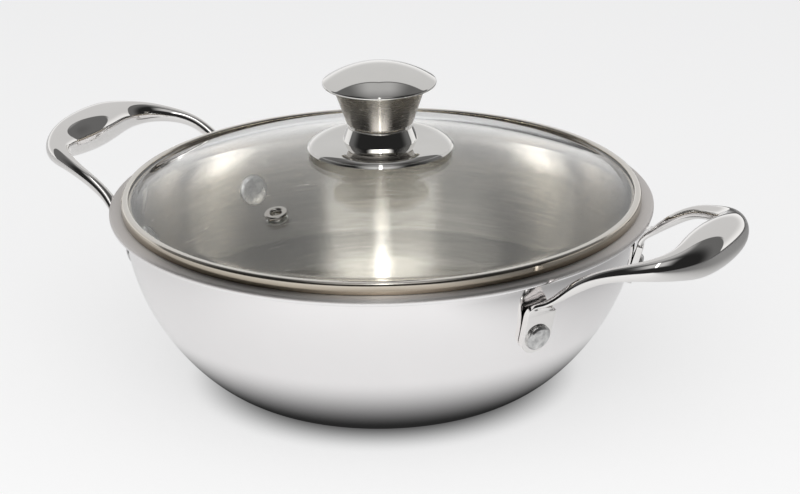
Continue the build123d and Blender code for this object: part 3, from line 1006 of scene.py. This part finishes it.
def make_world():
    """A plain fill as light, a studio for reflections and a plain backdrop for the eye."""
    world = bpy.data.worlds.new("studio")
    bpy.context.scene.world = world
    tree = Tree(world, "ShaderNodeOutputWorld")
    path = tree.path()
    reflected = tree.math("GREATER_THAN", path["Glossy Depth"], 0.5)
    lit = tree.blend_shaders(reflected, tree.background((FILL, FILL, FILL, 1)),
                             tree.background(studio_colour(tree, path)))
    # The backdrop is also what is seen straight through the glass
    direct = tree.math("LESS_THAN", path["Glossy Depth"], 0.5)
    through = tree.times(path["Is Transmission Ray"], direct)
    seen = tree.math("MAXIMUM", path["Is Camera Ray"], through)
    tree.surface(tree.blend_shaders(seen, lit, tree.background((*BACKDROP, 1))))


def make_lamp(name, place, width, length, power):
    """Area lamp that points at the pan and isn't seen in reflections."""
    data = bpy.data.lights.new(name, "AREA")
    data.shape = "RECTANGLE"
    data.size, data.size_y = width, length
    data.energy = power
    lamp = bpy.data.objects.new(name, data)
    back = Vector(place).normalized()
    across = TO_RIGHT - back * TO_RIGHT.dot(back)
    across.normalize()
    turn = Matrix((across, back.cross(across), back)).transposed().to_4x4()
    lamp.matrix_world = Matrix.Translation(Vector(place)) @ turn
    lamp.visible_glossy = False
    bpy.context.scene.collection.objects.link(lamp)


# Floor

FLOOR_REACH, FLOOR_DROP = 9.0, 0.0002
# Painted light: the paper is lighter near the camera than far from it
FLOOR_FAR, FLOOR_NEAR = (0.92, 0.92, 0.925), (0.99, 0.99, 0.99)
FLOOR_SLOPE = (-0.9, 0.4)               # along the camera's direction, from far to near
GLOW_FAR, GLOW_NEAR = 0.50, 0.86        # share of the paper's own glow in what is seen
GLOW_SLOPE = (-0.15, 0.35)
PAPER_END = (0.7, 1.7)
# Painted shadow round the pan's foot: its darkness, where it fades, and how much wider reflections
# find it
FOOT_SHADE, FOOT_SHADOW_EDGE = 0.03, (0.061, 0.096)
FOOT_SHADOW_REACH = 0.80                       # reflections shrink distances so, for a wider foot
# Painted shade that reflections find on the paper to the right and to the left
DIM_RIGHT, RIGHT_EDGE = 0.85, (0.08, 0.34)
DIM_LEFT, LEFT_EDGE = 0.25, (-0.55, -0.12)


def make_floor():
    """Pale paper that glows for the eye and for reflections, and keeps the pan's shadow; a shadow
    round its foot, light towards the camera and shade for reflections are painted on it.
    """
    corners = ((-FLOOR_REACH, -FLOOR_REACH), (FLOOR_REACH, -FLOOR_REACH),
               (FLOOR_REACH, FLOOR_REACH), (-FLOOR_REACH, FLOOR_REACH))
    floor = add_object("floor", [Vector((x, y, -FLOOR_DROP)) for x, y in corners],
                       [(0, 1, 2, 3)])
    mat, tree, shader = new_material("floor_paper")
    shader.inputs["Roughness"].default_value = 0.9
    shader.inputs["Specular IOR Level"].default_value = 0.0
    path = tree.path()
    place = tree.place()
    near = tree.vector("DOT_PRODUCT", place, TO_CAMERA)
    aside = tree.vector("DOT_PRODUCT", place, TO_RIGHT)
    distance = tree.vector("LENGTH", place)
    # Painted light: the paper's colour is lighter towards the camera
    paper = tree.ramp(tree.span(near, *FLOOR_SLOPE), (0.0, FLOOR_FAR), (1.0, FLOOR_NEAR))
    # Painted shadow: the paper is nearly black right under the pan, round its foot
    reach = tree.blend(path["Is Glossy Ray"], 1.0, FOOT_SHADOW_REACH)
    foot = tree.smooth(tree.times(distance, reach), *FOOT_SHADOW_EDGE)
    paper = tree.blend_colours(foot, (FOOT_SHADE, FOOT_SHADE, FOOT_SHADE, 1), paper)
    tree.feed(shader.inputs["Base Color"], paper)
    # Away from the pan the paper fades into the backdrop
    away = tree.smooth(distance, *PAPER_END)
    faded = tree.blend_colours(away, paper, (*BACKDROP, 1))
    # Painted shade for reflections: they find it dimmer to the right and a little to the left
    right = tree.times(tree.smooth(aside, *RIGHT_EDGE), DIM_RIGHT)
    left = tree.times(DIM_LEFT, tree.rest(tree.smooth(aside, *LEFT_EDGE)))
    loss = tree.times(path["Is Glossy Ray"], tree.math("ADD", right, left))
    glow = tree.nodes.new("ShaderNodeEmission")
    tree.feed(glow.inputs["Color"], tree.scaled(faded, tree.rest(loss)))
    seen = tree.math("MAXIMUM", path["Is Camera Ray"], tree.math(
        "MAXIMUM", path["Is Glossy Ray"], path["Is Transmission Ray"]))
    share = tree.blend(tree.smooth(near, *GLOW_SLOPE), GLOW_FAR, GLOW_NEAR)
    share = tree.times(seen, tree.math("MAXIMUM", away, share))
    tree.surface(tree.blend_shaders(share, shader.outputs[0], glow.outputs[0]))
    dress(floor, mat)


# Scene

bpy.context.scene.view_settings.view_transform = "Standard"
make_camera()

dress(make_bowl(), bowl_material())
handle_steel = polished("handle_polish", light=(0.90, 0.885, 0.87), dark=(0.85, 0.835, 0.82),
                        roughness=0.02)
aluminium = rivet_material()
for side_name, side, middle in (("right", 1, 0), ("left", -1, 180)):
    dress(make_handle("handle_" + side_name, side), handle_steel)
    for end, sign in (("front", -1), ("rear", 1)):
        name = "rivet_" + side_name + "_" + end
        dress(make_rivet(name, middle + side * sign * RIVET_ANGLE), aluminium)

dress(make_glass(), glass_material())
dress(make_band(), band_material())
dress(make_eyelet(), polished("eyelet_polish", light=(0.66, 0.64, 0.60),
                              dark=(0.54, 0.52, 0.49), roughness=0.22))
knob = make_knob()
knob_mirror = polished("knob_mirror", light=(0.88, 0.87, 0.85), dark=(0.80, 0.79, 0.77),
                       roughness=0.03)
for node in ("knob_base_disc", "knob_cap", "knob_neck"):
    dress(knob[node], knob_mirror)
dress(knob["knob_body"], satin_material())

# Pieces that keep the shapes of their solids
silicone = plain_material("silicone_ring", 0, light=(0.70, 0.70, 0.68),
                          dark=(0.60, 0.60, 0.58), roughness=0.55)
screw_metal = plain_material("screw_metal", 1, light=(0.68, 0.68, 0.67),
                             dark=(0.55, 0.55, 0.54), roughness=0.3)
brass = plain_material("insert_brass_finish", 1, light=(0.75, 0.58, 0.30),
                       dark=(0.62, 0.46, 0.22), roughness=0.3)
for node, mat in (("gasket_upper", silicone), ("gasket_lower", silicone),
                  ("screw_washer", screw_metal), ("knob_screw", screw_metal),
                  ("vent_washer", screw_metal), ("knob_insert", brass)):
    dress(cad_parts[node], mat)

make_world()
make_floor()
make_lamp("top_light", (0.1, -0.9, 1.5), width=2.6, length=2.0, power=5)
make_lamp("front_light", (0.95, -1.55, 1.25), width=2.2, length=1.0, power=9)
